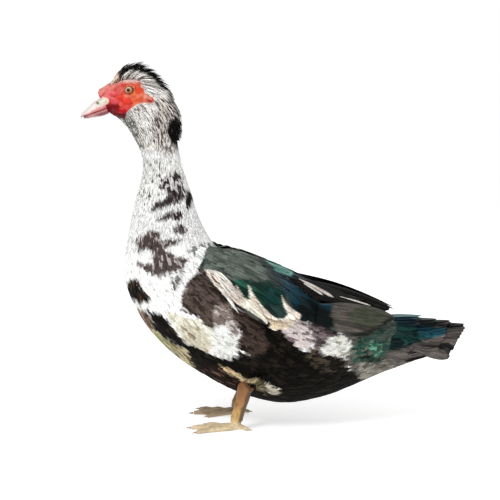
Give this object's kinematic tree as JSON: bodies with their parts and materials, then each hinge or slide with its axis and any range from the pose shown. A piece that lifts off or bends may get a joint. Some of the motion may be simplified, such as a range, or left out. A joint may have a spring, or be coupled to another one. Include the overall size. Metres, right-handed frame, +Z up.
{
  "type": "muscovy duck",
  "caption": "Life-size standing muscovy duck with a raised neck and crest, a bare caruncled face, folded wings, a fanned tail and webbed feet.",
  "frame": {"origin": "on the floor under the middle of the bird: half way from bill tip to tail tip, on its plane of symmetry, at the level of its soles", "axes": "+Z up, the bird faces -X, its left side is towards -Y"},
  "size_m": [0.5124, 0.1572, 0.489],
  "materials": {
    "head": "feathers and bare red caruncled skin",
    "bill_upper": "smooth pinkish-white horn",
    "bill_lower": "smooth dark red horn",
    "eye": "wet, glossy, yellow-brown iris",
    "neck": "white feathers with dark spots",
    "body": "black-brown and white feathers",
    "wing": "glossy blue-green feathers",
    "tail": "glossy blue-green feathers",
    "thigh": "soft olive-white and dark feathers",
    "leg": "scaly ochre skin",
    "claw": "smooth horn"
  },
  "bodies": {
    "root": {"head": "head", "bill_upper": "bill_upper", "bill_lower": "bill_lower", "eye_left": "eye", "eye_right": "eye", "neck": "neck", "torso": "body", "wing_left": "wing", "wing_right": "wing", "tail": "tail", "thigh_left": "thigh", "thigh_right": "thigh", "shank_left": "leg", "shank_right": "leg", "foot_left": "leg", "foot_right": "leg", "claw_inner_left": "claw", "claw_middle_left": "claw", "claw_outer_left": "claw", "claw_hind_left": "claw", "claw_inner_right": "claw", "claw_middle_right": "claw", "claw_outer_right": "claw", "claw_hind_right": "claw"}
  },
  "joints": []
}
